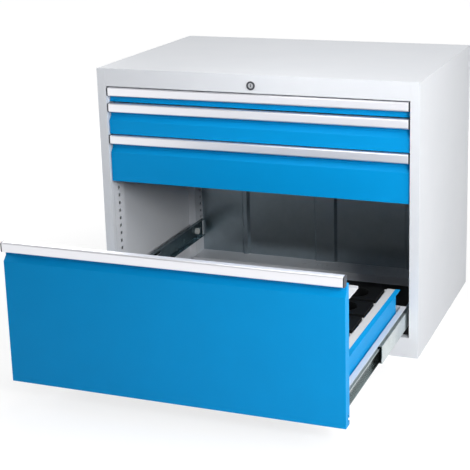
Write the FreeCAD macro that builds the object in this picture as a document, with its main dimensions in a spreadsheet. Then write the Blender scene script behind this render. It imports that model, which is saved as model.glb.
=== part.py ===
# A floor-standing drawer cabinet for machine tools, with a deep bottom drawer for tool holders.
# Millimetres. X points to the right, Y to the back and Z up. The origin is the middle of the base.
# The three upper drawers are shut, and the bottom drawer is pulled out by its whole travel.
import FreeCAD, Part
import os
import re
import Sketcher

doc = FreeCAD.newDocument("drawer_cabinet")
sheet = doc.addObject("Spreadsheet::Sheet", "sizes")
nodes = []

DRAWER_COUNT = 4
DRAWERS = range(1, DRAWER_COUNT + 1)
OPEN_DRAWER = DRAWER_COUNT
SIDES = {"left": -1, "right": 1}

SIZES = {
    # Housing
    "width": 1005,
    "depth": 690,
    "housing_sheet": 1.5,
    "stile_width": 28,
    "stile_depth": 18,
    "rear_return": 26,
    "top_rail_height": 54.5,
    "top_rail_depth": 40,
    "plinth_height": 61,
    "plinth_depth": 24,
    "rim_height": 20,
    "rim_gap": 1,
    "pan_ledge": 16,
    "pan_strap": 40,
    "pan_lip": 4,
    # Raised channel across the floor, and the slots in it
    "channel_height": 27,
    "channel_rear_place": 100,
    "channel_slot_width": 6,
    "channel_slot_length": 17,
    "channel_slot_offset": 66,
    "channel_hole_length": 8,
    "channel_hole_pitch": 18,
    # Ribs pressed into the back panel
    "rib_depth": 12,
    "rib_slope": 8,
    "middle_rib_width": 84,
    "side_rib_width": 30,
    "side_rib_place": 303,
    # Slotted posts
    "post_sheet": 2,
    "post_width": 64,
    "front_post_start": 19,
    "rear_post_place": 68,
    "post_gap": 4.5,
    "slot_first": 82,
    "slot_pitch": 25,
    "slot_width": 12,
    "slot_height": 10,
    "front_slot_back": 52,
    "rear_slot_place": 22,
    # Drawer fronts
    "drawer_1_height": 50,
    "drawer_2_height": 100,
    "drawer_3_height": 150,
    "drawer_4_height": 400,
    "drawer_travel": 625,
    "front_gap": 3.5,
    "side_gap": 2,
    "front_setback": 9,
    "front_depth": 30,
    "front_sheet": 1.2,
    "front_rim": 25,
    "front_top_drop": 9,
    "tall_front_drop": 26,
    "front_top_rim": 3,
    "recess_back": 22,
    "finger_gap": 13.5,
    "bevel_height": 14,
    # Handle strips
    "handle_height": 27.5,
    "handle_wall": 2.2,
    "handle_lip": 6,
    "handle_corner": 3,
    "handle_leg": 22,
    "cap_thickness": 3,
    # Drawer boxes
    "box_side_gap": 24.5,
    "box_rear_gap": 55,
    "box_sheet": 1.2,
    "box_flange": 15.5,
    "box_hem": 5,
    "drawer_1_lift": 4,
    "drawer_2_lift": 4,
    "drawer_3_lift": 4,
    "drawer_4_lift": 15.5,
    "drawer_1_side": 36,
    "drawer_2_side": 72,
    "drawer_3_side": 120,
    "drawer_4_side": 74.5,
    # Telescopic rails: a light set for the upper drawers and a heavy one for the bottom drawer
    "light_height": 32,
    "light_sheet": 1.5,
    "light_play": 3.5,
    "light_foot": 1,
    "heavy_height": 62,
    "heavy_sheet": 2,
    "heavy_play": 3.5,
    "heavy_foot": 7,
    "rail_reach": 13.5,
    "middle_inset": 5.5,
    "rail_start": 42,
    "cabinet_rail_gap": 18,
    "moving_rail_gap": 33,
    "shoe_length": 30,
    "shoe_width": 7,
    "shoe_inset": 0.5,
    "shoe_gap": 0.3,
    "buffer_radius": 11,
    "buffer_width": 10.5,
    "buffer_gap": 2,
    "screw_radius": 2.8,
    "screw_length": 8,
    "screw_head_radius": 5,
    "screw_head": 2,
    "screw_clearance": 0.3,
    "front_screw_back": 62,
    "rear_screw_place": 40,
    # Cylinder lock and what it drives
    "lock_place": 0,
    "lock_drop": 32,
    "lock_face_radius": 13,
    "lock_face": 2.5,
    "lock_barrel_radius": 11,
    "lock_barrel_length": 24,
    "lock_fit": 0.2,
    "core_radius": 8,
    "core_clearance": 0.05,
    "core_face": 2,
    "core_end": 25,
    "key_width": 2.2,
    "key_height": 9,
    "key_depth": 12,
    "tail_radius": 4.9,
    "tail_clearance": 0.1,
    "nut_flats": 27,
    "nut_thickness": 5,
    "cam_start": 31,
    "cam_thickness": 3,
    "cam_radius": 12,
    "cam_throw": 8,
    "pin_radius": 2.5,
    "pin_length": 3.9,
    "pin_play": 0.4,
    "slider_gap": 0.3,
    "slider_thickness": 2.5,
    "slider_height": 24,
    "slider_rise": 3,
    "slider_end": 20,
    "bar_gap": 3.5,
    "bar_width": 10,
    "bar_start": 30,
    "bar_thickness": 3,
    "bar_end": 8,
    "bar_pin_inset": 4,
    "tongue_reach": 8,
    "tongue_rise": 12,
    "tongue_height": 6,
    "tongue_play": 0.4,
    "catch_play": 1,
    # Tool frame, trims, cross rails and tool cups in the bottom drawer
    "frame_gap": 3.8,
    "frame_sheet": 1.5,
    "frame_start": 45,
    "frame_rear_gap": 47,
    "frame_height": 140.8,
    "frame_end_drop": 18,
    "frame_lip": 13,
    "trim_width": 22.5,
    "trim_leg": 27,
    "cross_rail_width": 24,
    "cross_rail_height": 13,
    "cross_rail_drop": 3.5,
    "cup_row_pitch": 114,
    "cup_rows": 4,
    "cups_per_row": 6,
    "cup_row_play": 5,
    "cup_gap": 2.5,
    "cup_flange_depth": 98,
    "cup_flange_height": 9.5,
    "cup_height": 43,
    "cup_radius": 40,
    "cup_bore_radius": 35,
    # Stiffening shelf behind the tall front
    "shelf_drop": 73,
    "shelf_gap": 4.5,
    "shelf_depth": 123,
    "shelf_leg": 33,
    "shelf_lip": 6,
}

MATHS = ("floor", "tan", "sqrt")

HALF_WIDTH = "width / 2"
HALF_INSIDE = "(width / 2 - housing_sheet)"
HALF_OPENING = "(width / 2 - stile_width)"
HALF_FRONT = f"({HALF_OPENING} - side_gap)"
HALF_BOX = f"({HALF_OPENING} - box_side_gap)"
BOX_START = "(front_setback + front_depth)"
BOX_END = "(depth - box_rear_gap)"
RAIL_END = "(depth - cabinet_rail_gap)"
MOVING_RAIL_END = f"({BOX_END} - moving_rail_gap)"
CHANNEL_START = "(depth - channel_rear_place)"
REAR_POST_START = "(depth - rear_post_place)"
FRONT_SCREW = "front_screw_back"
REAR_SCREW = "(depth - rear_screw_place)"
BAR_PLACE = f"({HALF_OPENING} + bar_gap)"
BAR_PIN_PLACE = f"({BAR_PLACE} + bar_pin_inset)"
HALF_FRAME = f"({HALF_BOX} - box_sheet - frame_gap)"
FRAME_END = f"({BOX_END} - frame_rear_gap)"
HALF_CUPS = f"({HALF_FRAME} - frame_sheet - trim_width)"
CUP_PITCH = f"((2 * {HALF_CUPS} - cup_row_play) / cups_per_row)"
HALF_SHELF = f"({HALF_FRONT} - shelf_gap)"
SCREWS = {"front": FRONT_SCREW, "rear": REAR_SCREW}
GRID_BOTTOM = "(plinth_height + front_gap)"
OPENING_TOP = f"({GRID_BOTTOM} + drawer_1_height + drawer_2_height + drawer_3_height + drawer_4_height)"
HEIGHT = f"({OPENING_TOP} + top_rail_height)"
UNDER_TOP = f"({HEIGHT} - housing_sheet)"
POST_TOP = f"({OPENING_TOP} - post_gap)"
LOCK_UP = f"({HEIGHT} - lock_drop)"
THROW = "(cam_throw * sqrt(2))"


def fill_sheet():
    """Writes each driving size into its own cell and names the cell."""
    for row, (alias, value) in enumerate(SIZES.items(), start=1):
        sheet.set(f"A{row}", alias)
        sheet.set(f"B{row}", str(value))
        sheet.setAlias(f"B{row}", alias)
    doc.recompute()


def tied(text):
    """Points the plain names of an expression at the sheet."""
    def with_sheet(word):
        name = word.group(0)
        return name if name in MATHS else "sizes." + name
    return re.sub(r"[a-z]\w*", with_sheet, str(text))


def worth(text):
    """The present value of an expression."""
    return float(sheet.evalExpression(tied(text)))


def node(shape, name):
    """Names a finished sub-part, which is then written to a file of that name."""
    shape.Label = name
    nodes.append(shape)
    return shape


def box(name, across, along, up):
    """A block between two expressions along each axis."""
    solid = doc.addObject("Part::Box", name)
    spans = (("Length", "x", across), ("Width", "y", along), ("Height", "z", up))
    for side, axis, (low, high) in spans:
        solid.setExpression(side, tied(f"({high}) - ({low})"))
        solid.setExpression(f"Placement.Base.{axis}", tied(low))
    return solid


def rod(name, axis, span, first, second, radius):
    """A round bar along an axis. first and second place it on the other two axes, in X, Y, Z order."""
    solid = doc.addObject("Part::Cylinder", name)
    low, high = span
    turns = {
        "x": FreeCAD.Rotation(FreeCAD.Vector(0, 1, 0), 90),
        "y": FreeCAD.Rotation(FreeCAD.Vector(1, 0, 0), -90),
        "z": FreeCAD.Rotation(),
    }
    places = {"x": (low, first, second), "y": (first, low, second), "z": (first, second, low)}
    solid.Placement = FreeCAD.Placement(FreeCAD.Vector(), turns[axis])
    solid.setExpression("Radius", tied(radius))
    solid.setExpression("Height", tied(f"({high}) - ({low})"))
    for letter, place in zip("xyz", places[axis]):
        solid.setExpression(f"Placement.Base.{letter}", tied(place))
    return solid


def joined(name, pieces):
    """One solid from several that meet."""
    if len(pieces) == 1:
        return pieces[0]
    whole = doc.addObject("Part::MultiFuse", name)
    whole.Shapes = pieces
    whole.Refine = True
    return whole


def carved(name, base, tools):
    """The base with every tool cut out of it."""
    whole = doc.addObject("Part::Cut", name)
    whole.Base = base
    whole.Tool = joined(f"{name}_tools", tools)
    whole.Refine = True
    return whole


def together(name, pieces):
    """Several separate solids kept side by side."""
    group = doc.addObject("Part::Compound", name)
    group.Links = pieces
    return group


def body_plane(body, role):
    return next(item for item in body.Origin.OriginFeatures if item.Role == role)


def outline(body, name, role, points, offset="0"):
    """A closed sketch whose corners are tied to the sheet."""
    sketch = body.newObject("Sketcher::SketchObject", name)
    sketch.AttachmentSupport = [(body_plane(body, role), "")]
    sketch.MapMode = "FlatFace"
    sketch.setExpression("AttachmentOffset.Base.z", tied(offset))
    corners = [FreeCAD.Vector(worth(first), worth(second), 0) for first, second in points]
    count = len(corners)
    for index in range(count):
        sketch.addGeometry(Part.LineSegment(corners[index], corners[(index + 1) % count]), False)
    for index in range(count):
        sketch.addConstraint(Sketcher.Constraint("Coincident", index, 2, (index + 1) % count, 1))
    for index, corner in enumerate(corners):
        for kind, value, text in zip(("DistanceX", "DistanceY"), corner, points[index]):
            place = sketch.addConstraint(Sketcher.Constraint(kind, -1, 1, index, 1, value))
            sketch.setExpression(f"Constraints[{place}]", tied(text))
    return sketch


def extruded(name, role, points, length, offset="0", holes=()):
    """A body padded to both sides of a plane, with pockets as long as they are told."""
    body = doc.addObject("PartDesign::Body", name)
    pad = body.newObject("PartDesign::Pad", f"{name}_pad")
    pad.Profile = outline(body, f"{name}_outline", role, points, offset)
    pad.SideType = "Symmetric"
    pad.setExpression("Length", tied(length))
    for number, (hole, hole_length) in enumerate(holes, start=1):
        doc.recompute()
        pocket = body.newObject("PartDesign::Pocket", f"{name}_pocket_{number}")
        pocket.Profile = outline(body, f"{name}_hole_{number}", role, hole, offset)
        pocket.SideType = "Symmetric"
        pocket.setExpression("Length", tied(hole_length))
    return body


def aside(place, side):
    """A place to the right (1) or to the left (-1) of the middle."""
    return place if side > 0 else f"-({place})"


def sideways(near, far, side):
    """A span out from the middle, to one side."""
    span = (aside(near, side), aside(far, side))
    return span if side > 0 else span[::-1]


def behind(near, far, out="0"):
    """A span behind the front plane of the housing, moved forward by out."""
    return f"-depth / 2 + {near} - {out}", f"-depth / 2 + {far} - {out}"


def back(place, out="0"):
    return behind(place, place, out)[0]


def drawer_bottom(number):
    """The level of a drawer front's lower edge."""
    below = [f" + drawer_{lower}_height" for lower in DRAWERS if lower > number]
    return f"({GRID_BOTTOM}{''.join(below)})"


def drawer_top(number):
    """The level of a drawer front's upper edge, under the gap to the next one."""
    return f"({drawer_bottom(number)} + drawer_{number}_height - front_gap)"


def front_top(number):
    """The level of the folded panel's upper edge. The tall front's folds end lower, behind the handle."""
    drop = "tall_front_drop" if number == OPEN_DRAWER else "front_top_drop"
    return f"({drawer_top(number)} - {drop})"


def box_bottom(number):
    return f"({drawer_bottom(number)} + drawer_{number}_lift)"


def pulled_out(number):
    return "drawer_travel" if number == OPEN_DRAWER else "0"


def rail_set(number):
    return "heavy" if number == OPEN_DRAWER else "light"


def rail_centre(number):
    kind = rail_set(number)
    return f"({box_bottom(number)} + {kind}_foot + {kind}_height / 2)"


def tongue_bottom(number):
    return f"({drawer_bottom(number)} + tongue_rise)"


# Base pan: the open floor frame with a strap across it and the plinth rail folded up at the front
def make_base_pan():
    inside = (f"-{HALF_INSIDE}", HALF_INSIDE)
    across = (f"-({HALF_OPENING} - pan_ledge)", f"{HALF_OPENING} - pan_ledge")
    sheet_level = ("-1", "housing_sheet + 1")
    sheet_floor = box("pan_floor", inside, behind("housing_sheet", "depth - housing_sheet"),
                      ("0", "housing_sheet"))
    bays = [
        box("pan_bay_front", across, behind("plinth_depth + pan_ledge", "depth / 2 - pan_strap / 2"),
            sheet_level),
        box("pan_bay_rear", across, behind("depth / 2 + pan_strap / 2", f"{CHANNEL_START} - pan_lip"),
            sheet_level),
    ]
    opening = (f"-{HALF_OPENING}", HALF_OPENING)
    between_posts = behind("front_post_start + post_width + rim_gap", f"{REAR_POST_START} - rim_gap")
    pieces = [
        carved("pan_floor_frame", sheet_floor, bays),
        box("pan_plinth", opening, behind("0", "housing_sheet"), ("0", "plinth_height")),
        box("pan_ledge", opening, behind("0", "plinth_depth"),
            ("plinth_height - housing_sheet", "plinth_height")),
    ]
    for side, sign in SIDES.items():
        rim = sideways(f"{HALF_INSIDE} - housing_sheet", HALF_INSIDE, sign)
        pieces.append(box(f"pan_rim_{side}", rim, between_posts, ("0", "rim_height")))
    node(joined("pan", pieces), "base_pan")


# Rear floor channel: a raised slotted strip in front of the back panel
def make_rear_floor_channel():
    across = (f"-{HALF_OPENING}", HALF_OPENING)
    end = "depth - 2 * housing_sheet"
    shell = box("channel_block", across, behind(CHANNEL_START, end), ("housing_sheet", "channel_height"))
    hollow = box("channel_hollow", across,
                 behind(f"{CHANNEL_START} + housing_sheet", f"{end} - housing_sheet"),
                 ("housing_sheet", "channel_height - housing_sheet"))
    slot_line = f"({CHANNEL_START} + {end}) / 2"
    along = behind(f"{slot_line} - channel_slot_width / 2", f"{slot_line} + channel_slot_width / 2")
    through = ("channel_height - 2 * housing_sheet", "channel_height + housing_sheet")
    tools = [hollow]
    for index, place in enumerate(("-channel_slot_offset", "channel_slot_offset")):
        span = (f"{place} - channel_slot_length / 2", f"{place} + channel_slot_length / 2")
        tools.append(box(f"channel_slot_{index}", span, along, through))
    for step in (-1, 0, 1):
        place = f"{step} * channel_hole_pitch"
        span = (f"{place} - channel_hole_length / 2", f"{place} + channel_hole_length / 2")
        tools.append(box(f"channel_hole_{step + 1}", span, along, through))
    node(carved("channel", shell, tools), "rear_floor_channel")


# Side panels: the side sheet with the front stile and a rear return folded in
def make_side_panel(side, sign):
    full = ("0", UNDER_TOP)
    above_pan = ("housing_sheet", UNDER_TOP)
    pieces = [
        box(f"side_sheet_{side}", sideways(HALF_INSIDE, HALF_WIDTH, sign), behind("0", "depth"), full),
        box(f"side_stile_{side}", sideways(HALF_OPENING, HALF_WIDTH, sign),
            behind("0", "housing_sheet"), full),
        box(f"side_return_{side}", sideways(HALF_OPENING, f"{HALF_OPENING} + housing_sheet", sign),
            behind("0", "stile_depth"), above_pan),
        box(f"side_rear_{side}", sideways(f"{HALF_WIDTH} - rear_return", HALF_WIDTH, sign),
            behind("depth - housing_sheet", "depth"), full),
    ]
    node(joined(f"side_{side}", pieces), f"side_panel_{side}")


# Top panel: a flat sheet with rims folded down inside the side panels
def make_top_panel():
    pieces = [box("top_sheet", (f"-{HALF_WIDTH}", HALF_WIDTH), behind("0", "depth"), (UNDER_TOP, HEIGHT))]
    for side, sign in SIDES.items():
        rim = sideways(f"{HALF_INSIDE} - housing_sheet", HALF_INSIDE, sign)
        along = behind("top_rail_depth + rim_gap", "depth - 2 * housing_sheet")
        pieces.append(box(f"top_rim_{side}", rim, along, (f"{UNDER_TOP} - rim_height", HEIGHT)))
    node(joined("top", pieces), "top_panel")


# Top rail: a trough between the stiles that carries the lock
def make_top_rail():
    across = (f"-{HALF_OPENING}", HALF_OPENING)
    block = box("rail_block", across, behind("0", "top_rail_depth"), (OPENING_TOP, UNDER_TOP))
    hollow = box("rail_hollow", across, behind("housing_sheet", "top_rail_depth - housing_sheet"),
                 (f"{OPENING_TOP} + housing_sheet", HEIGHT))
    hole = rod("rail_lock_hole", "y", behind("-1", "housing_sheet + 1"), "lock_place", LOCK_UP,
               "lock_barrel_radius + lock_fit")
    node(carved("top_rail_shape", block, [hollow, hole]), "top_rail")


# Back panel: a sheet with one wide and two narrow ribs pressed forwards
def make_back_panel():
    near = back("depth - 2 * housing_sheet")
    rise = "rib_depth"
    ribs = (("-side_rib_place", "side_rib_width / 2"), ("0", "middle_rib_width / 2"),
            ("side_rib_place", "side_rib_width / 2"))
    line = [(f"-{HALF_INSIDE}", near)]
    for place, half in ribs:
        line.append((f"{place} - {half}", near))
        line.append((f"{place} - {half} + rib_slope", f"{near} - {rise}"))
        line.append((f"{place} + {half} - rib_slope", f"{near} - {rise}"))
        line.append((f"{place} + {half}", near))
    line.append((HALF_INSIDE, near))
    rear_line = [(across, f"{along} + housing_sheet") for across, along in reversed(line)]
    low = "channel_height + rim_gap"
    ribbed = extruded("back_ribbed", "XY_Plane", line + rear_line, f"{UNDER_TOP} - ({low})",
                      offset=f"({UNDER_TOP} + {low}) / 2")
    foot = box("back_foot", (f"-{HALF_INSIDE}", HALF_INSIDE),
               behind("depth - 2 * housing_sheet", "depth - housing_sheet"), ("housing_sheet", low))
    node(joined("back", [ribbed, foot]), "back_panel")


# Slotted posts: folded channels between the pan and the top rail
def make_post(name, sign, start, slot_back, screw_back, windows=()):
    near = HALF_OPENING
    far = HALF_INSIDE
    first, last = behind(start, f"{start} + post_width")
    inner_first = f"{first} + post_sheet"
    inner_last = f"{last} - post_sheet"
    corners = [(near, first), (far, first), (far, inner_first), (f"{near} + post_sheet", inner_first),
               (f"{near} + post_sheet", inner_last), (far, inner_last), (far, last), (near, last)]
    if sign < 0:
        corners = [(f"-({across})", along) for across, along in corners]
    body = extruded(f"{name}_channel", "XY_Plane", corners, f"{POST_TOP} - housing_sheet",
                    offset=f"({POST_TOP} + housing_sheet) / 2")
    doc.recompute()
    slot = [(back(f"{slot_back} - slot_width / 2"), "slot_first - slot_height / 2"),
            (back(f"{slot_back} + slot_width / 2"), "slot_first - slot_height / 2"),
            (back(f"{slot_back} + slot_width / 2"), "slot_first + slot_height / 2"),
            (back(f"{slot_back} - slot_width / 2"), "slot_first + slot_height / 2")]
    pocket = body.newObject("PartDesign::Pocket", f"{name}_slot")
    pocket.Profile = outline(body, f"{name}_slot_outline", "YZ_Plane", slot)
    pocket.SideType = "Symmetric"
    pocket.setExpression("Length", tied("width"))
    doc.recompute()
    row = body.newObject("PartDesign::LinearPattern", f"{name}_slots")
    row.Originals = [pocket]
    row.Direction = (body_plane(body, "Z_Axis"), [""])
    row.Mode = "Spacing"
    row.setExpression("Offset", tied("slot_pitch"))
    count = f"floor(({POST_TOP} - slot_first - slot_height) / slot_pitch) + 1"
    row.setExpression("Occurrences", tied(count))
    body.Tip = row
    tools = []
    for number in DRAWERS:
        span = sideways(f"{near} - 1", f"{near} + post_sheet + 1", sign)
        tools.append(rod(f"{name}_hole_{number}", "x", span, back(screw_back), rail_centre(number),
                         "screw_radius + screw_clearance"))
    tools.extend(windows)
    node(carved(f"{name}_cut", body, tools), name)


def tongue_windows():
    """Openings in the right front post that the locking tongues reach through."""
    windows = []
    for number in DRAWERS:
        low = tongue_bottom(number)
        windows.append(box(f"window_{number}", (f"{HALF_OPENING} - 1", f"{HALF_OPENING} + post_sheet + 1"),
                           behind("bar_start - tongue_play", "bar_start + bar_thickness + tongue_play"),
                           (f"{low} - tongue_play", f"{low} + tongue_height + {THROW} + tongue_play")))
    return windows


# Telescopic rails: three folded channels, one inside the other
def channel_rail(name, sign, near, far, web_is_far, half, sheet_size, along, level):
    block = box(f"{name}_block", sideways(near, far, sign), along,
                (f"{level} - {half}", f"{level} + {half}"))
    hollow_near = f"{near} - 1" if web_is_far else f"{near} + {sheet_size}"
    hollow_far = f"{far} - {sheet_size}" if web_is_far else f"{far} + 1"
    hollow = box(f"{name}_hollow", sideways(hollow_near, hollow_far, sign), along,
                 (f"{level} - {half} + {sheet_size}", f"{level} + {half} - {sheet_size}"))
    return block, hollow


def make_cabinet_rails(number):
    kind = rail_set(number)
    half = f"{kind}_height / 2"
    along = behind("rail_start", RAIL_END)
    rails = []
    for side, sign in SIDES.items():
        name = f"cabinet_rail_{number}_{side}"
        near = f"{HALF_OPENING} - rail_reach"
        block, hollow = channel_rail(name, sign, near, HALF_OPENING, True, half, f"{kind}_sheet", along,
                                     rail_centre(number))
        tools = [hollow]
        for end, place in SCREWS.items():
            span = sideways(f"{HALF_OPENING} - {kind}_sheet - 1", f"{HALF_OPENING} + 1", sign)
            tools.append(rod(f"{name}_hole_{end}", "x", span, back(place), rail_centre(number),
                             "screw_radius + screw_clearance"))
        rails.append(carved(name, block, tools))
    node(together(f"cabinet_rails_{number}", rails), f"runner_{number}_cabinet_rails")


def middle_half(number):
    kind = rail_set(number)
    return f"({kind}_height / 2 - {kind}_sheet - {kind}_play)"


def inner_half(number):
    kind = rail_set(number)
    return f"({kind}_height / 2 - 2 * {kind}_sheet - 2 * {kind}_play)"


def half_pull(number):
    return f"{pulled_out(number)} / 2"


def make_middle_rails(number):
    kind = rail_set(number)
    along = behind("rail_start", MOVING_RAIL_END, half_pull(number))
    far = f"{HALF_OPENING} - middle_inset"
    for side, sign in SIDES.items():
        name = f"middle_rail_{number}_{side}"
        block, hollow = channel_rail(name, sign, f"{far} - rail_reach", far, True, middle_half(number),
                                     f"{kind}_sheet", along, rail_centre(number))
        node(carved(name, block, [hollow]), f"runner_{number}_middle_{side}")


def make_glide_shoes(number):
    """Shoes fixed to the middle rails: outside at the rear, inside at the front."""
    kind = rail_set(number)
    level = rail_centre(number)
    out = half_pull(number)
    outer_far = f"{HALF_OPENING} - middle_inset - shoe_inset"
    inner_near = f"{HALF_OPENING} - middle_inset - rail_reach + shoe_inset"
    end = MOVING_RAIL_END
    places = {
        "rear": ((f"{outer_far} - shoe_width", outer_far), behind(f"{end} - shoe_length", end, out),
                 (middle_half(number), f"{middle_half(number)} + {kind}_play - shoe_gap")),
        "front": ((inner_near, f"{inner_near} + shoe_width"),
                  behind("rail_start", "rail_start + shoe_length", out),
                  (f"{inner_half(number)} + shoe_gap", f"{inner_half(number)} + {kind}_play")),
    }
    shoes = []
    for side, sign in SIDES.items():
        for end_name, (across, along, (low, high)) in places.items():
            name = f"shoe_{number}_{side}_{end_name}"
            span = sideways(*across, sign)
            shoes.append(box(f"{name}_upper", span, along, (f"{level} + {low}", f"{level} + {high}")))
            shoes.append(box(f"{name}_lower", span, along, (f"{level} - ({high})", f"{level} - ({low})")))
    node(together(f"shoes_{number}", shoes), f"runner_{number}_glide_shoes")


def make_drawer_rails(number):
    kind = rail_set(number)
    along = behind("rail_start", MOVING_RAIL_END, pulled_out(number))
    rails = []
    for side, sign in SIDES.items():
        name = f"drawer_rail_{number}_{side}"
        block, hollow = channel_rail(name, sign, HALF_BOX, f"{HALF_BOX} + rail_reach", False,
                                     inner_half(number), f"{kind}_sheet", along, rail_centre(number))
        rails.append(carved(name, block, [hollow]))
    node(together(f"drawer_rails_{number}", rails), f"drawer_{number}_rails")


# Fixings of the cabinet rails: a screw at each end, and a nylon buffer behind the moving rails
def make_runner_screws():
    screws = []
    for number in DRAWERS:
        web = f"{HALF_OPENING} - {rail_set(number)}_sheet"
        for side, sign in SIDES.items():
            for end, place in SCREWS.items():
                name = f"screw_{number}_{side}_{end}"
                head = rod(f"{name}_head", "x", sideways(f"{web} - screw_head", web, sign), back(place),
                           rail_centre(number), "screw_head_radius")
                shank = rod(f"{name}_shank", "x", sideways(web, f"{HALF_OPENING} + screw_length", sign),
                            back(place), rail_centre(number), "screw_radius")
                screws.append(joined(name, [head, shank]))
    node(together("screws", screws), "runner_screws")


def make_rear_buffers():
    buffers = []
    place = back(f"{MOVING_RAIL_END} + buffer_gap + buffer_radius")
    for number in DRAWERS:
        web = f"{HALF_OPENING} - {rail_set(number)}_sheet"
        for side, sign in SIDES.items():
            buffers.append(rod(f"buffer_{number}_{side}", "x", sideways(f"{web} - buffer_width", web, sign),
                               place, rail_centre(number), "buffer_radius"))
    node(together("buffers", buffers), "runner_rear_buffers")


# Drawer box: folded sheet with its side flanges turned out over the runners
def make_drawer_box(number):
    out = pulled_out(number)
    start = BOX_START
    end = BOX_END
    low = box_bottom(number)
    high = f"{low} + drawer_{number}_side"
    block = box(f"box_{number}_block", (f"-{HALF_BOX}", HALF_BOX), behind(start, end, out), (low, high))
    hollow = box(f"box_{number}_hollow", (f"-{HALF_BOX} + box_sheet", f"{HALF_BOX} - box_sheet"),
                 behind(f"{start} + box_sheet", f"{end} - box_sheet", out),
                 (f"{low} + box_sheet", f"{high} + 1"))
    pieces = [carved(f"box_{number}_tray", block, [hollow])]
    top = (f"{high} - box_sheet", high)
    for side, sign in SIDES.items():
        span = sideways(f"{HALF_BOX} - box_sheet", f"{HALF_BOX} + box_flange", sign)
        pieces.append(box(f"box_{number}_flange_{side}", span, behind(start, end, out), top))
    inside = (f"-{HALF_BOX} + box_sheet", f"{HALF_BOX} - box_sheet")
    pieces.append(box(f"box_{number}_hem_front", inside, behind(start, f"{start} + box_hem", out), top))
    pieces.append(box(f"box_{number}_hem_rear", inside, behind(f"{end} - box_hem", end, out), top))
    node(joined(f"box_{number}", pieces), f"drawer_{number}_box")


# Drawer front: a folded panel, set back behind the handle and bevelled out below it
def front_corners(number, inset):
    """The front's outline seen from the side, drawn in by inset."""
    out = pulled_out(number)
    low = f"{drawer_bottom(number)} + {inset}"
    high = f"{front_top(number)} - {inset}"
    face = f"front_setback + {inset}"
    recess = f"recess_back + {inset}"
    rear = f"front_setback + front_depth - {inset}"
    bevel_top = f"{drawer_top(number)} - handle_height - finger_gap"
    corners = [(back(rear, out), low)]
    if worth(f"({bevel_top} - bevel_height) - ({low})") > 0:
        corners.append((back(face, out), low))
        corners.append((back(face, out), f"{bevel_top} - bevel_height"))
    else:
        slope = "(recess_back - front_setback) / bevel_height"
        corners.append((back(f"{recess} - ({bevel_top} - ({low})) * {slope}", out), low))
    corners.append((back(recess, out), bevel_top))
    corners.append((back(recess, out), high))
    corners.append((back(rear, out), high))
    return corners


def make_drawer_front(number):
    out = pulled_out(number)
    low = drawer_bottom(number)
    rear_low, rear_high = behind("front_setback + front_depth - front_sheet - 1",
                                 "front_setback + front_depth + 1", out)
    opening = [(rear_low, f"{low} + front_rim"), (rear_high, f"{low} + front_rim"),
               (rear_high, f"{front_top(number)} - front_top_rim"),
               (rear_low, f"{front_top(number)} - front_top_rim")]
    inner_width = f"2 * {HALF_FRONT} - 2 * front_sheet"
    holes = ((front_corners(number, "front_sheet"), inner_width), (opening, inner_width))
    panel = extruded(f"front_{number}_panel", "YZ_Plane", front_corners(number, "0"),
                     f"2 * {HALF_FRONT}", holes=holes)
    if number == OPEN_DRAWER:
        flange = box(f"front_{number}_flange", (f"-{HALF_FRONT}", HALF_FRONT),
                     behind("recess_back", "recess_back + front_sheet", out),
                     (f"{front_top(number)} - front_sheet", f"{drawer_top(number)} - front_top_drop"))
        panel = joined(f"front_{number}_whole", [panel, flange])
    tongue_low = tongue_bottom(number)
    beside = (f"{HALF_FRONT} - 2 * front_sheet - catch_play", f"{HALF_FRONT} + 1")
    floor_level = f"{tongue_low} - catch_play"
    gate = box(f"catch_{number}_gate", beside,
               behind("bar_start - catch_play", "front_setback + front_depth + 1", out),
               (floor_level, f"{tongue_low} + tongue_height + catch_play"))
    pocket = box(f"catch_{number}_pocket", beside,
                 behind("bar_start - catch_play", "bar_start + bar_thickness + catch_play", out),
                 (floor_level, f"{tongue_low} + tongue_height + {THROW} + catch_play"))
    node(carved(f"front_{number}", panel, [gate, pocket]), f"drawer_{number}_front")


# Handle: an extruded strip with a finger lip, and a cap at each end
def make_handle(number):
    out = pulled_out(number)
    top = drawer_top(number)
    inner = "handle_wall + handle_corner / 2"
    corners = [
        ("recess_back", "0"),
        ("handle_corner", "0"),
        ("0", "handle_corner"),
        ("0", "handle_height - handle_corner"),
        ("handle_corner", "handle_height"),
        ("handle_lip", "handle_height"),
        ("handle_lip", "handle_height - handle_wall"),
        (inner, "handle_height - handle_wall"),
        ("handle_wall", f"handle_height - ({inner})"),
        ("handle_wall", inner),
        (inner, "handle_wall"),
        ("recess_back - handle_wall", "handle_wall"),
        ("recess_back - handle_wall", "handle_leg"),
        ("recess_back", "handle_leg"),
    ]
    points = [(back(along, out), f"{top} - ({down})") for along, down in corners]
    length = f"2 * ({HALF_FRONT} - cap_thickness)"
    node(extruded(f"handle_{number}", "YZ_Plane", points, length), f"drawer_{number}_handle")


def make_handle_caps(number):
    out = pulled_out(number)
    top = drawer_top(number)
    corners = [("recess_back", "0"), ("handle_corner", "0"), ("0", "handle_corner"),
               ("0", "handle_height - handle_corner"), ("handle_corner", "handle_height"),
               ("recess_back", "handle_height")]
    points = [(back(along, out), f"{top} - ({down})") for along, down in corners]
    caps = []
    for side, sign in SIDES.items():
        middle = aside(f"({HALF_FRONT} - cap_thickness / 2)", sign)
        caps.append(extruded(f"cap_{number}_{side}", "YZ_Plane", points, "cap_thickness", offset=middle))
    node(together(f"caps_{number}", caps), f"drawer_{number}_handle_caps")


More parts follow.
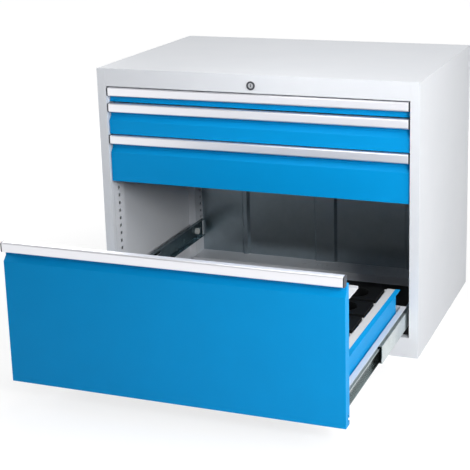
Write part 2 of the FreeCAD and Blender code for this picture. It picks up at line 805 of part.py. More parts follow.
# Cylinder lock: housing and nut in the top rail, core and cam that turn in it
def make_lock_housing():
    face = rod("lock_face_disc", "y", behind("-lock_face", "0"), "lock_place", LOCK_UP, "lock_face_radius")
    barrel = rod("lock_barrel", "y", behind("-lock_face", "lock_barrel_length"), "lock_place", LOCK_UP,
                 "lock_barrel_radius")
    bore = rod("lock_bore", "y", behind("-lock_face - 1", "lock_barrel_length + 1"), "lock_place", LOCK_UP,
               "core_radius + core_clearance")
    node(carved("lock_body", joined("lock_block", [face, barrel]), [bore]), "lock_housing")


def make_lock_nut():
    prism = doc.addObject("Part::Prism", "nut_block")
    prism.Polygon = 6
    prism.Placement = FreeCAD.Placement(FreeCAD.Vector(), FreeCAD.Rotation(FreeCAD.Vector(1, 0, 0), -90))
    prism.setExpression("Circumradius", tied("nut_flats / sqrt(3)"))
    prism.setExpression("Height", tied("nut_thickness"))
    for axis, place in zip("xyz", ("lock_place", back("housing_sheet"), LOCK_UP)):
        prism.setExpression(f"Placement.Base.{axis}", tied(place))
    hole = rod("nut_hole", "y", behind("0", "housing_sheet + nut_thickness + 1"), "lock_place", LOCK_UP,
               "lock_barrel_radius + lock_fit")
    node(carved("nut", prism, [hole]), "lock_nut")


def make_lock_core():
    plug = rod("core_plug", "y", behind("-core_face", "core_end"), "lock_place", LOCK_UP, "core_radius")
    tail = rod("core_tail", "y", behind("core_end", "cam_start + cam_thickness"), "lock_place", LOCK_UP,
               "tail_radius")
    key = box("core_key", ("lock_place - key_width / 2", "lock_place + key_width / 2"),
              behind("-core_face - 1", "key_depth"),
              (f"{LOCK_UP} - key_height / 2", f"{LOCK_UP} + key_height / 2"))
    node(carved("core", joined("core_block", [plug, tail]), [key]), "lock_core")


def make_lock_cam():
    """A disc on the core's tail. Its pin stands up and to the left, and turns over to the right."""
    disc = rod("cam_disc", "y", behind("cam_start", "cam_start + cam_thickness"), "lock_place", LOCK_UP,
               "cam_radius")
    hole = rod("cam_hole", "y", behind("cam_start - 1", "cam_start + cam_thickness + 1"), "lock_place",
               LOCK_UP, "tail_radius + tail_clearance")
    pin = rod("cam_pin", "y", behind("cam_start", "cam_start + cam_thickness + pin_length"),
              f"lock_place - {THROW} / 2", f"{LOCK_UP} + {THROW} / 2", "pin_radius")
    node(joined("cam", [carved("cam_ring", disc, [hole]), pin]), "lock_cam")


# Locking slider: a flat bar that the cam shifts to the right; its sloping slot lifts the locking bar
def make_locking_slider():
    low = f"{LOCK_UP} + cam_throw + pin_radius + slider_rise - slider_height"
    high = f"{LOCK_UP} + cam_throw + pin_radius + slider_rise"
    left = "lock_place - slider_end"
    right = f"{BAR_PIN_PLACE} + pin_radius + slider_rise"
    middle = "top_rail_depth - housing_sheet - slider_gap - slider_thickness / 2"
    bar = [(left, low), (right, low), (right, high), (left, high)]
    pin_side = f"lock_place - {THROW} / 2"
    slot_half = "(pin_radius + pin_play)"
    pin_low = f"{LOCK_UP} + {THROW} / 2 - {slot_half}"
    pin_high = f"{LOCK_UP} + cam_throw + {slot_half}"
    cam_slot = [(f"{pin_side} - {slot_half}", pin_low), (f"{pin_side} + {slot_half}", pin_low),
                (f"{pin_side} + {slot_half}", pin_high), (f"{pin_side} - {slot_half}", pin_high)]
    bar_pin_up = lifted_pin_level()
    reach = f"({slot_half} * sqrt(2))"
    ramp = [(BAR_PIN_PLACE, f"{bar_pin_up} - {reach}"),
            (f"{BAR_PIN_PLACE} + {reach}", bar_pin_up),
            (f"{BAR_PIN_PLACE} - {THROW}", f"{bar_pin_up} + {THROW} + {reach}"),
            (f"{BAR_PIN_PLACE} - {THROW} - {reach}", f"{bar_pin_up} + {THROW}")]
    long = "slider_thickness + 2"
    node(extruded("slider", "XZ_Plane", bar, "slider_thickness", offset=f"-({back(middle)})",
                  holes=((cam_slot, long), (ramp, long))), "locking_slider")


def lifted_pin_level():
    """The level of the locking bar's pin while the lock is open."""
    return f"({LOCK_UP} + cam_throw + pin_radius + slider_rise - slider_height / 2 - {THROW} / 2)"


# Locking bar: an upright bar with a tongue for each drawer
def make_locking_bar():
    along = behind("bar_start", "bar_start + bar_thickness")
    low = f"{tongue_bottom(OPEN_DRAWER)} - tongue_play"
    pieces = [box("bar_blade", (BAR_PLACE, f"{BAR_PLACE} + bar_width"), along,
                  (low, f"{lifted_pin_level()} + bar_end"))]
    for number in DRAWERS:
        level = tongue_bottom(number)
        pieces.append(box(f"tongue_{number}", (f"{BAR_PLACE} - tongue_reach", f"{BAR_PLACE} + bar_width"), along,
                          (level, f"{level} + tongue_height")))
    pieces.append(rod("bar_pin", "y", behind("bar_start", "top_rail_depth - housing_sheet - slider_gap"),
                      BAR_PIN_PLACE, lifted_pin_level(), "pin_radius"))
    node(joined("bar", pieces), "locking_bar")


# Tool frame: folded blue frame that stands on the bottom drawer's floor
def frame_floor():
    return f"({box_bottom(OPEN_DRAWER)} + box_sheet)"


def frame_top():
    return f"({frame_floor()} + frame_height)"


def frame_span():
    return behind("frame_start", FRAME_END, pulled_out(OPEN_DRAWER))


def make_tool_frame():
    out = pulled_out(OPEN_DRAWER)
    wall_top = f"{frame_top()} - frame_end_drop"
    pieces = []
    for side, sign in SIDES.items():
        pieces.append(box(f"frame_wall_{side}",
                          sideways(f"{HALF_FRAME} - frame_sheet", HALF_FRAME, sign), frame_span(),
                          (frame_floor(), frame_top())))
        pieces.append(box(f"frame_lip_{side}",
                          sideways(f"{HALF_FRAME} - frame_sheet", f"{HALF_FRAME} + frame_lip", sign),
                          frame_span(), (f"{frame_top()} - frame_sheet", frame_top())))
    ends = {"front": ("frame_start", "frame_start + frame_sheet"),
            "rear": (f"{FRAME_END} - frame_sheet", FRAME_END)}
    for end, (near, far) in ends.items():
        pieces.append(box(f"frame_end_{end}", (f"-{HALF_FRAME}", HALF_FRAME),
                          behind(near, far, out), (frame_floor(), wall_top)))
    node(joined("frame", pieces), "drawer_4_tool_frame")


def make_frame_trims():
    outer = f"{HALF_FRAME} - frame_sheet"
    along = behind("frame_start + frame_sheet", f"{FRAME_END} - frame_sheet", pulled_out(OPEN_DRAWER))
    trims = []
    for side, sign in SIDES.items():
        strip = box(f"trim_strip_{side}", sideways(f"{outer} - trim_width", outer, sign), along,
                    (f"{frame_top()} - frame_sheet", frame_top()))
        leg = box(f"trim_leg_{side}", sideways(f"{outer} - frame_sheet", outer, sign), along,
                  (f"{frame_top()} - trim_leg", frame_top()))
        trims.append(joined(f"trim_{side}", [strip, leg]))
    node(together("trims", trims), "drawer_4_frame_trims")


def cross_rail_back(index):
    """How far behind the front plane a cross rail's middle lies, counted from the rear."""
    return f"({FRAME_END} - cross_rail_width / 2 - {index} * cup_row_pitch)"


def make_cross_rails():
    out = pulled_out(OPEN_DRAWER)
    half = f"{HALF_FRAME} - 2 * frame_sheet"
    high = f"{frame_top()} - cross_rail_drop"
    rails = []
    for index in range(int(worth("cup_rows")) + 1):
        place = cross_rail_back(index)
        block = box(f"cross_rail_{index}_block", (f"-({half})", half),
                    behind(f"{place} - cross_rail_width / 2", f"{place} + cross_rail_width / 2", out),
                    (f"{high} - cross_rail_height", high))
        hollow = box(f"cross_rail_{index}_hollow", (f"-({half}) - 1", f"{half} + 1"),
                     behind(f"{place} - cross_rail_width / 2 + frame_sheet",
                            f"{place} + cross_rail_width / 2 - frame_sheet", out),
                     (f"{high} - cross_rail_height - 1", f"{high} - frame_sheet"))
        rails.append(carved(f"cross_rail_{index}", block, [hollow]))
    node(together("cross_rails", rails), "drawer_4_insert_rails")


# Tool cups: a square flange on the cross rails over a round socket
def make_tool_cups():
    out = pulled_out(OPEN_DRAWER)
    seat = f"{frame_top()} - cross_rail_drop"
    rim = f"{seat} + cup_flange_height"
    count = int(worth("cups_per_row"))
    half_flange = f"({CUP_PITCH} - cup_gap) / 2"
    cups = []
    for row in range(int(worth("cup_rows"))):
        centre_back = f"{cross_rail_back(row)} - cup_row_pitch / 2"
        for column in range(count):
            name = f"cup_{row}_{column}"
            across = f"({column} - ({count} - 1) / 2) * {CUP_PITCH}"
            flange = box(f"{name}_flange", (f"{across} - {half_flange}", f"{across} + {half_flange}"),
                         behind(f"{centre_back} - cup_flange_depth / 2",
                                f"{centre_back} + cup_flange_depth / 2", out), (seat, rim))
            place = back(centre_back, out)
            wall = rod(f"{name}_wall", "z", (f"{seat} - cup_height", rim), across, place, "cup_radius")
            bore = rod(f"{name}_bore", "z", (f"{seat} - cup_height - 1", f"{rim} + 1"), across, place,
                       "cup_bore_radius")
            cups.append(carved(name, joined(f"{name}_block", [flange, wall]), [bore]))
    node(together("cups", cups), "drawer_4_tool_inserts")


# Front stiffener: a folded shelf behind the tall front
def make_front_stiffener():
    out = pulled_out(OPEN_DRAWER)
    across = (f"-{HALF_SHELF}", HALF_SHELF)
    start = "front_setback + front_sheet"
    level = f"{drawer_top(OPEN_DRAWER)} - shelf_drop"
    pieces = [
        box("shelf_plate", across, behind(start, f"{start} + shelf_depth", out),
            (f"{level} - frame_sheet", level)),
        box("shelf_leg_plate", across, behind(start, f"{start} + frame_sheet", out),
            (f"{level} - shelf_leg", level)),
        box("shelf_lip_plate", across,
            behind(f"{start} + shelf_depth - frame_sheet", f"{start} + shelf_depth", out),
            (f"{level} - frame_sheet", f"{level} + shelf_lip")),
    ]
    node(joined("shelf", pieces), "drawer_4_front_stiffener")


def make_housing():
    make_base_pan()
    make_rear_floor_channel()
    for side, sign in SIDES.items():
        make_side_panel(side, sign)
    make_top_panel()
    make_top_rail()
    make_back_panel()
    for side, sign in SIDES.items():
        windows = tongue_windows() if side == "right" else ()
        make_post(f"upright_front_{side}", sign, "front_post_start", "front_slot_back", FRONT_SCREW, windows)
        make_post(f"upright_rear_{side}", sign, REAR_POST_START, "(depth - rear_slot_place)", REAR_SCREW)


def make_lock():
    make_lock_housing()
    make_lock_nut()
    make_lock_core()
    make_lock_cam()
    make_locking_slider()
    make_locking_bar()


def make_drawer(number):
    make_drawer_box(number)
    make_drawer_front(number)
    make_handle(number)
    make_handle_caps(number)
    make_drawer_rails(number)


def make_runners():
    for number in DRAWERS:
        make_cabinet_rails(number)
        make_middle_rails(number)
        make_glide_shoes(number)
    make_runner_screws()
    make_rear_buffers()


def make_tool_storage():
    make_tool_frame()
    make_frame_trims()
    make_cross_rails()
    make_tool_cups()
    make_front_stiffener()


def check_document():
    """Stops with the names of whatever failed."""
    faults = [item.Name for item in doc.Objects if set(item.State) & {"Invalid", "Error"}]
    faults += [item.Label for item in nodes if item.Shape.isNull() or not item.Shape.isValid()]
    if faults:
        raise RuntimeError("failed: " + ", ".join(faults))


def write_parts():
    os.makedirs("parts", exist_ok=True)
    for item in nodes:
        item.Shape.exportStep(os.path.join("parts", item.Label + ".step"))
        print(item.Label, len(item.Shape.Solids), "solids", round(item.Shape.Volume / 1000, 1), "cm3")


fill_sheet()
make_housing()
make_lock()
for drawer in DRAWERS:
    make_drawer(drawer)
make_runners()
make_tool_storage()
doc.recompute()
check_document()
write_parts()
print(len(nodes), "sub-parts")
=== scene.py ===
# Tool drawer cabinet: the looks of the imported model, in metres. X right, Y back, Z up.
import math

import bpy
import numpy as np
from mathutils import Matrix

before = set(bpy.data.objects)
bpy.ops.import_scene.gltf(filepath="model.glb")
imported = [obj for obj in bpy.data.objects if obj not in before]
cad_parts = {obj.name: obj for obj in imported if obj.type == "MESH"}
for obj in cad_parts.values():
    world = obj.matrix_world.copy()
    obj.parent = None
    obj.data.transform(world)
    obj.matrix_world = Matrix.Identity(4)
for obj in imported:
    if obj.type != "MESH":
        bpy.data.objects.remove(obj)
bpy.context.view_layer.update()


# Housing: cold-rolled steel sheet, folded and spot-welded, then powder coated light grey.
# Only the back is a separate zinc-plated sheet without paint, pressed with upright ribs.
def linear(hex_colour):
    """sRGB hex to linear: c / 12.92 up to 0.04045, and ((c + 0.055) / 1.055) ** 2.4 above."""
    parts = [int(hex_colour[place:place + 2], 16) / 255 for place in (0, 2, 4)]
    return [c / 12.92 if c <= 0.04045 else ((c + 0.055) / 1.055) ** 2.4 for c in parts] + [1.0]


def add_node(tree, kind, settings=None, inputs=None, links=None):
    """One node with its own settings, plain socket values, and links into its sockets."""
    item = tree.nodes.new(kind)
    for name, value in (settings or {}).items():
        setattr(item, name, value)
    for name, value in (inputs or {}).items():
        item.inputs[name].default_value = value
    for name, socket in (links or {}).items():
        tree.links.new(socket, item.inputs[name])
    return item


def empty_material(name):
    """A new material with no nodes in its tree, and that tree."""
    material = bpy.data.materials.new(name)
    material.use_nodes = True
    material.node_tree.nodes.clear()
    return material, material.node_tree


def powder_coat(name, colour, shade, roughness, gleam):
    """Powder-coated steel: two close shades in broad patches, and the coat's orange peel as a bump."""
    patch_mm = 110.0
    peel_mm = 2.5
    peel_height_mm = 0.06
    material, tree = empty_material(name)
    place = add_node(tree, "ShaderNodeTexCoord").outputs["Object"]
    patches = add_node(tree, "ShaderNodeTexNoise", inputs={"Scale": 1000.0 / patch_mm, "Detail": 2.0},
                       links={"Vector": place})
    tint = add_node(tree, "ShaderNodeMix", {"data_type": "RGBA"}, {"A": linear(colour), "B": linear(shade)},
                    {"Factor": patches.outputs["Fac"]})
    peel = add_node(tree, "ShaderNodeTexNoise", inputs={"Scale": 1000.0 / peel_mm, "Detail": 1.5},
                    links={"Vector": place})
    bump = add_node(tree, "ShaderNodeBump", inputs={"Strength": 0.25, "Distance": peel_height_mm / 1000.0},
                    links={"Height": peel.outputs["Fac"]})
    sheen = add_node(tree, "ShaderNodeMapRange",
                     inputs={"To Min": roughness - 0.04, "To Max": roughness + 0.05},
                     links={"Value": peel.outputs["Fac"]})
    shader = add_node(tree, "ShaderNodeBsdfPrincipled", inputs={"IOR": 1.5, "Specular IOR Level": gleam},
                      links={"Base Color": tint.outputs["Result"], "Normal": bump.outputs["Normal"],
                             "Roughness": sheen.outputs["Result"]})
    add_node(tree, "ShaderNodeOutputMaterial", links={"Surface": shader.outputs["BSDF"]})
    return material


def plated_strip(name, colour, shade, roughness):
    """Plated metal: cloudy patches a few centimetres wide, and rolling lines along Y.

    The real lines are finer than a millimetre and wouldn't show, so they are drawn coarser.
    """
    cloud_mm = 33.0
    line_mm = 1.1
    line_length_mm = 80.0
    line_height_mm = 0.04
    material, tree = empty_material(name)
    place = add_node(tree, "ShaderNodeTexCoord").outputs["Object"]
    clouds = add_node(tree, "ShaderNodeTexNoise", inputs={"Scale": 1000.0 / cloud_mm, "Detail": 3.0},
                      links={"Vector": place})
    tint = add_node(tree, "ShaderNodeMix", {"data_type": "RGBA"}, {"A": linear(colour), "B": linear(shade)},
                    {"Factor": clouds.outputs["Fac"]})
    stretch = (1000.0 / line_mm, 1000.0 / line_length_mm, 1000.0 / line_mm)
    along = add_node(tree, "ShaderNodeMapping", inputs={"Scale": stretch}, links={"Vector": place})
    lines = add_node(tree, "ShaderNodeTexNoise", inputs={"Scale": 1.0, "Detail": 2.0},
                     links={"Vector": along.outputs["Vector"]})
    bump = add_node(tree, "ShaderNodeBump", inputs={"Strength": 0.3, "Distance": line_height_mm / 1000.0},
                    links={"Height": lines.outputs["Fac"]})
    shine = add_node(tree, "ShaderNodeMapRange",
                     inputs={"To Min": roughness - 0.08, "To Max": roughness + 0.08},
                     links={"Value": clouds.outputs["Fac"]})
    shader = add_node(tree, "ShaderNodeBsdfPrincipled", inputs={"Metallic": 1.0},
                      links={"Base Color": tint.outputs["Result"], "Normal": bump.outputs["Normal"],
                             "Roughness": shine.outputs["Result"]})
    add_node(tree, "ShaderNodeOutputMaterial", links={"Surface": shader.outputs["BSDF"]})
    return material


def finish_nodes(material, *names):
    """Gives carried-over nodes their finish in every material slot."""
    for name in names:
        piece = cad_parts[name]
        for slot in piece.material_slots:
            slot.material = material


def soften(width, *names):
    """Rounds the edges of carried-over nodes over a small width, in metres."""
    touching = 0.00001
    sharp_degrees = 40
    for name in names:
        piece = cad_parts[name]
        weld = piece.modifiers.new("weld", "WELD")
        weld.merge_threshold = touching
        bevel = piece.modifiers.new("fold", "BEVEL")
        bevel.width = width
        bevel.segments = 2
        bevel.limit_method = "ANGLE"
        bevel.angle_limit = math.radians(sharp_degrees)
        bevel.use_clamp_overlap = True


coat_roughness = 0.45
coat_gleam = 0.4
# Light grey powder coat: a satin sheen without sharp reflections, even from end to end.
grey_coat = powder_coat("light_grey_powder_coat", "DCDEE2", "D7DADF", coat_roughness, coat_gleam)
# Galvanised sheet: a blurred metal that shows the pale room as a grey gradient.
back_zinc = plated_strip("galvanised_back_sheet", "B8C4CA", "A9B5BB", 0.32)
sheet_fold = 0.0006
finish_nodes(grey_coat, "base_pan", "rear_floor_channel", "side_panel_left", "side_panel_right",
             "top_panel", "top_rail")
finish_nodes(back_zinc, "back_panel")
soften(sheet_fold, "side_panel_left", "side_panel_right", "top_panel", "top_rail")


# Slotted posts: steel channels, punched with slots 25 mm apart and folded, in the housing's own coat.
# They are welded into its four corners, and the runners' outer rails are screwed to them.
finish_nodes(grey_coat, "upright_front_left", "upright_front_right", "upright_rear_left",
             "upright_rear_right")


# Runners: roll-formed steel strip, zinc plated and passivated, which leaves a greenish grey metal.
# Each drawer hangs on three nested rails a side, and the outer one is screwed to the posts.
drawers = (1, 2, 3, 4)
# Passivated zinc: bright where it mirrors the pale room, and dark where it mirrors the cabinet.
zinc = plated_strip("passivated_zinc", "CAD4D5", "BEC8C9", 0.2)
# The outer rails get a darker copy of the same zinc: painted shade, as they sit deep in the cabinet's
# shadow.
painted_shade_zinc = plated_strip("passivated_zinc_with_painted_shade", "6A7E84", "5A6E74", 0.25)
# The cabinet rails take the darker zinc, whose darkness is painted shade.
for number in drawers:
    finish_nodes(painted_shade_zinc, f"runner_{number}_cabinet_rails")
    finish_nodes(zinc, f"runner_{number}_middle_left", f"runner_{number}_middle_right",
                 f"drawer_{number}_rails")
finish_nodes(zinc, "runner_screws")


# Glide shoes and rear buffers: small injection mouldings, between the nested rails and behind them.
# The shoes are black acetal, which slides without oil, and the buffers are white nylon.
def moulded(name, colour, shade, roughness, gleam):
    """Moulded plastic: a faint mottle in colour and gloss, and the mould's fine grain as a bump."""
    mottle_mm = 4.5
    grain_mm = 0.7
    grain_height_mm = 0.04
    material, tree = empty_material(name)
    place = add_node(tree, "ShaderNodeTexCoord").outputs["Object"]
    mottle = add_node(tree, "ShaderNodeTexNoise", inputs={"Scale": 1000.0 / mottle_mm, "Detail": 2.0},
                      links={"Vector": place})
    tint = add_node(tree, "ShaderNodeMix", {"data_type": "RGBA"}, {"A": linear(colour), "B": linear(shade)},
                    {"Factor": mottle.outputs["Fac"]})
    grain = add_node(tree, "ShaderNodeTexNoise", inputs={"Scale": 1000.0 / grain_mm, "Detail": 1.0},
                     links={"Vector": place})
    bump = add_node(tree, "ShaderNodeBump", inputs={"Strength": 0.2, "Distance": grain_height_mm / 1000.0},
                    links={"Height": grain.outputs["Fac"]})
    gloss = add_node(tree, "ShaderNodeMapRange",
                     inputs={"To Min": roughness - 0.05, "To Max": roughness + 0.05},
                     links={"Value": mottle.outputs["Fac"]})
    shader = add_node(tree, "ShaderNodeBsdfPrincipled", inputs={"IOR": 1.5, "Specular IOR Level": gleam},
                      links={"Base Color": tint.outputs["Result"], "Normal": bump.outputs["Normal"],
                             "Roughness": gloss.outputs["Result"]})
    add_node(tree, "ShaderNodeOutputMaterial", links={"Surface": shader.outputs["BSDF"]})
    return material


# Black acetal: nearly black with a dull, waxy gloss.
black_acetal = moulded("black_acetal", "060708", "0A0B0C", 0.5, 0.12)
# White nylon: milky white with a soft gloss.
white_nylon = moulded("white_nylon", "E6E7E4", "DBDCD8", 0.45, 0.5)
for number in drawers:
    finish_nodes(black_acetal, f"runner_{number}_glide_shoes")
finish_nodes(white_nylon, "runner_rear_buffers")


# Lock: a die-cast zinc cylinder, nickel plated, held in the top rail by a nut behind it.
# Its cam shifts a slider of zinc-plated steel, and that lifts a zinc-plated bar beside the drawers.
finish_nodes(zinc, "locking_slider", "locking_bar")
# Satin nickel: a bright, blurred metal, so the core stands out from its ring.
bright_nickel = plated_strip("satin_nickel", "BCBEC2", "AFB1B5", 0.25)
# Dark nickel: a ring that reads as a dark circle on the pale rail.
dark_nickel = plated_strip("dark_nickel", "54565B", "4B4D52", 0.3)
finish_nodes(bright_nickel, "lock_core", "lock_cam", "lock_nut")
finish_nodes(dark_nickel, "lock_housing")


# Drawers: boxes of thin steel sheet, folded and spot-welded, in the light grey coat of the housing.
# Each has a folded front in bright blue powder coat, with a recess and a bevel under its handle.
blue_roughness = 0.5
blue_gleam = 0.12
# Bright blue powder coat: a full, even blue, duller than the grey, so that it stays deep in the light.
blue_coat = powder_coat("bright_blue_powder_coat", "0096D9", "0092D4", blue_roughness, blue_gleam)
for number in drawers:
    finish_nodes(grey_coat, f"drawer_{number}_box")
    finish_nodes(blue_coat, f"drawer_{number}_front")
    soften(sheet_fold, f"drawer_{number}_front", f"drawer_{number}_box")


# Handle strips: extruded aluminium, brushed and anodised, closed by a grey moulded cap at each end.
# Each strip is fixed along the top edge of its front, above the recess.
def anodised(name, colour, shade, roughness):
    """Satin anodised aluminium with hairlines along X, drawn 0.5 mm apart so that they show."""
    line_mm = 0.5
    line_length_mm = 160.0
    line_height_mm = 0.03
    material, tree = empty_material(name)
    place = add_node(tree, "ShaderNodeTexCoord").outputs["Object"]
    stretch = (1000.0 / line_length_mm, 1000.0 / line_mm, 1000.0 / line_mm)
    along = add_node(tree, "ShaderNodeMapping", inputs={"Scale": stretch}, links={"Vector": place})
    lines = add_node(tree, "ShaderNodeTexNoise", inputs={"Scale": 1.0, "Detail": 2.0},
                     links={"Vector": along.outputs["Vector"]})
    tint = add_node(tree, "ShaderNodeMix", {"data_type": "RGBA"}, {"A": linear(colour), "B": linear(shade)},
                    {"Factor": lines.outputs["Fac"]})
    bump = add_node(tree, "ShaderNodeBump", inputs={"Strength": 0.15, "Distance": line_height_mm / 1000.0},
                    links={"Height": lines.outputs["Fac"]})
    shine = add_node(tree, "ShaderNodeMapRange",
                     inputs={"To Min": roughness - 0.05, "To Max": roughness + 0.05},
                     links={"Value": lines.outputs["Fac"]})
    shader = add_node(tree, "ShaderNodeBsdfPrincipled", inputs={"Metallic": 0.85},
                      links={"Base Color": tint.outputs["Result"], "Normal": bump.outputs["Normal"],
                             "Roughness": shine.outputs["Result"]})
    add_node(tree, "ShaderNodeOutputMaterial", links={"Surface": shader.outputs["BSDF"]})
    return material


# Satin anodised aluminium: nearly white under soft light, with highlights smeared along the strip.
handle_metal = anodised("satin_anodised_aluminium", "F2F2F6", "ECECF1", 0.42)
# Grey cap plastic: a dark, even end to the bright strip.
cap_plastic = moulded("grey_cap_plastic", "3A3E46", "353941", 0.45, 0.3)
handle_edge = 0.0012
cap_edge = 0.0008
for number in drawers:
    finish_nodes(handle_metal, f"drawer_{number}_handle")
    finish_nodes(cap_plastic, f"drawer_{number}_handle_caps")
    soften(handle_edge, f"drawer_{number}_handle")
    soften(cap_edge, f"drawer_{number}_handle_caps")


# Tool storage in the bottom drawer: a folded frame in the fronts' blue stands in the drawer's box.
# Light grey trims run along its sides, and cross rails between them carry rows of black moulded cups.
frame_fold = 0.0005
cup_edge = 0.0008
# Grey trim coat: the housing's coat in a slightly darker grey, with the same satin sheen.
trim_coat = powder_coat("grey_trim_powder_coat", "CCCDCF", "C7C9CB", coat_roughness, coat_gleam)
finish_nodes(blue_coat, "drawer_4_tool_frame")
finish_nodes(trim_coat, "drawer_4_frame_trims", "drawer_4_insert_rails", "drawer_4_front_stiffener")
finish_nodes(black_acetal, "drawer_4_tool_inserts")
soften(frame_fold, "drawer_4_tool_frame", "drawer_4_frame_trims", "drawer_4_front_stiffener")
soften(cup_edge, "drawer_4_tool_inserts")


# Studio: a floor that shows white to the camera and keeps a faint shadow, under soft plain lights.
# The sky is dim for lighting, white behind the cabinet, and darker overhead where metal mirrors it.
def pale_floor(name, bounce, seen_bounce, glow):
    """Lights the cabinet as a pale floor does, but looks nearly white with only a faint shadow."""
    glow_starts = 1.0
    glow_is_full = 2.2
    bounce_grey = (bounce, bounce, bounce, 1.0)
    seen_grey = (seen_bounce, seen_bounce, seen_bounce, 1.0)
    material, tree = empty_material(name)
    plain = add_node(tree, "ShaderNodeBsdfDiffuse", inputs={"Color": bounce_grey})
    shade = add_node(tree, "ShaderNodeBsdfDiffuse", inputs={"Color": seen_grey})
    place = add_node(tree, "ShaderNodeTexCoord").outputs["Object"]
    distance = add_node(tree, "ShaderNodeVectorMath", {"operation": "LENGTH"}, links={"Vector": place})
    rising = add_node(tree, "ShaderNodeMapRange",
                      inputs={"From Min": glow_starts, "From Max": glow_is_full, "To Min": glow,
                              "To Max": 1.0},
                      links={"Value": distance.outputs["Value"]})
    shine = add_node(tree, "ShaderNodeEmission", inputs={"Color": (1.0, 1.0, 1.0, 1.0)},
                     links={"Strength": rising.outputs["Result"]})
    both = add_node(tree, "ShaderNodeAddShader",
                    links={0: shade.outputs["BSDF"], 1: shine.outputs["Emission"]})
    path = add_node(tree, "ShaderNodeLightPath")
    seen = add_node(tree, "ShaderNodeMath", {"operation": "MAXIMUM"},
                    links={0: path.outputs["Is Camera Ray"], 1: path.outputs["Is Glossy Ray"]})
    pick = add_node(tree, "ShaderNodeMixShader",
                    links={0: seen.outputs["Value"], 1: plain.outputs["BSDF"], 2: both.outputs["Shader"]})
    add_node(tree, "ShaderNodeOutputMaterial", links={"Surface": pick.outputs["Shader"]})
    return material


def flat_sheet(name, half_width, half_depth, height, material):
    """A flat rectangle about the origin, at a height above the floor."""
    corners = [(-half_width, -half_depth, height), (half_width, -half_depth, height),
               (half_width, half_depth, height), (-half_width, half_depth, height)]
    mesh = bpy.data.meshes.new(name)
    mesh.from_pydata(corners, [], [(0, 1, 2, 3)])
    mesh.materials.append(material)
    sheet = bpy.data.objects.new(name, mesh)
    bpy.context.collection.objects.link(sheet)
    return sheet


floor_half = 15.0
studio_floor = flat_sheet("studio_floor", floor_half, floor_half, 0.0,
                          pale_floor("studio_floor", 0.8, 0.3, 0.76))

# A dark patch under the open bottom frame, where the real floor gets no light.
patch_shade = 0.06
shaded, shaded_tree = empty_material("studio_floor_in_shade")
dull = add_node(shaded_tree, "ShaderNodeBsdfDiffuse",
                inputs={"Color": (patch_shade, patch_shade, patch_shade, 1.0)})
add_node(shaded_tree, "ShaderNodeOutputMaterial", links={"Surface": dull.outputs["BSDF"]})
patch_half_width = 0.49
patch_half_depth = 0.33
patch_height = 0.0003
floor_under_cabinet = flat_sheet("floor_under_cabinet", patch_half_width, patch_half_depth, patch_height,
                                 shaded)


def soft_light(name, place, aim, size, watts):
    """A square area lamp at place, turned to face aim."""
    lamp = bpy.data.lights.new(name, "AREA")
    lamp.size = size
    lamp.energy = watts
    item = bpy.data.objects.new(name, lamp)
    item.visible_camera = False
    bpy.context.collection.objects.link(item)
    away = np.array(place, float) - np.array(aim, float)
    away /= np.linalg.norm(away)
    side = np.cross((0.0, 0.0, 1.0), away)
    side /= np.linalg.norm(side)
    up = np.cross(away, side)
    turn = np.eye(4)
    turn[:3, :] = np.column_stack((side, up, away, place))
    item.matrix_world = Matrix(turn)


soft_light("front_light", (1.9, -2.4, 1.4), (0.1, -0.5, 0.3), 0.6, 40)
soft_light("high_light", (1.7, -1.9, 1.6), (0.2, -0.5, 0.4), 0.9, 15)
soft_light("right_light", (2.0, -0.9, 1.2), (0.3, -0.2, 0.4), 0.6, 12)
soft_light("left_light", (-1.6, -1.0, 1.1), (0.0, -0.3, 0.5), 0.8, 6)
soft_light("near_light", (0.1, -0.82, 1.15), (0.0, -0.3, 0.5), 0.4, 1.8)
soft_light("rear_light", (-2.2, 1.6, 1.5), (-0.3, 0.0, 0.5), 0.9, 18)
soft_light("top_light", (0.2, 0.25, 2.8), (0.0, 0.0, 0.8), 2.2, 40)

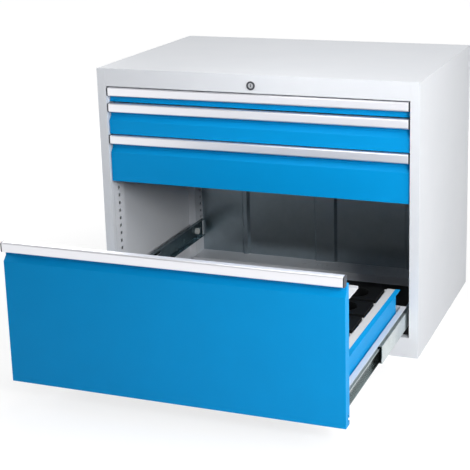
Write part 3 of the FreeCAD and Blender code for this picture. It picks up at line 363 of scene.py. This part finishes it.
sky_light = 0.02
mirror_dims_from = -0.05
mirror_dims_to = 0.45
mirrored_overhead = 0.3
world = bpy.data.worlds.new("studio")
world.use_nodes = True
world.node_tree.nodes.clear()
sky = world.node_tree
path = add_node(sky, "ShaderNodeLightPath")
light = add_node(sky, "ShaderNodeBackground",
                 inputs={"Color": (0.95, 0.97, 1.0, 1.0), "Strength": sky_light})
view = add_node(sky, "ShaderNodeTexCoord").outputs["Generated"]
height = add_node(sky, "ShaderNodeSeparateXYZ", links={"Vector": view}).outputs["Z"]
dimming = add_node(sky, "ShaderNodeMapRange",
                   inputs={"From Min": mirror_dims_from, "From Max": mirror_dims_to, "To Min": 1.0,
                           "To Max": mirrored_overhead},
                   links={"Value": height})
mirrored = add_node(sky, "ShaderNodeBackground", inputs={"Color": (1.0, 1.0, 1.0, 1.0)},
                    links={"Strength": dimming.outputs["Result"]})
white = add_node(sky, "ShaderNodeBackground", inputs={"Color": (1.0, 1.0, 1.0, 1.0), "Strength": 1.0})
for_metal = add_node(sky, "ShaderNodeMixShader",
                     links={0: path.outputs["Is Glossy Ray"], 1: light.outputs["Background"],
                            2: mirrored.outputs["Background"]})
for_camera = add_node(sky, "ShaderNodeMixShader",
                      links={0: path.outputs["Is Camera Ray"], 1: for_metal.outputs["Shader"],
                             2: white.outputs["Background"]})
add_node(sky, "ShaderNodeOutputWorld", links={"Surface": for_camera.outputs["Shader"]})
bpy.context.scene.world = world


# Camera: a long lens a little above the cabinet, from the right, with the frame shifted down and left.
# Its place, angles and lens were fitted to straight edges of the housing and of the fronts.
image_side = 470
sensor_mm = 36.0
lens_pixels = 1210.3
centre_pixels = (277.15, 160.85)
azimuth, pitch, roll = (math.radians(angle) for angle in (20.463, 14.128, -1.206))
eye = np.array((1.27677, -3.56024, 1.43113))
forward = np.array((-math.sin(azimuth) * math.cos(pitch), math.cos(azimuth) * math.cos(pitch),
                    -math.sin(pitch)))
right = np.array((math.cos(azimuth), math.sin(azimuth), 0.0))
down = np.cross(forward, right)
rolled_right = math.cos(roll) * right - math.sin(roll) * down
rolled_down = math.sin(roll) * right + math.cos(roll) * down
camera = bpy.data.objects.new("camera", bpy.data.cameras.new("camera"))
bpy.context.collection.objects.link(camera)
camera.data.sensor_width = sensor_mm
camera.data.lens = lens_pixels * sensor_mm / image_side
camera.data.shift_x = (image_side / 2 - centre_pixels[0]) / image_side
camera.data.shift_y = (centre_pixels[1] - image_side / 2) / image_side
pose = np.eye(4)
pose[:3, :] = np.column_stack((rolled_right, -rolled_down, -forward, eye))
camera.matrix_world = Matrix(pose)
bpy.context.scene.camera = camera
bpy.context.scene.view_settings.view_transform = "Standard"
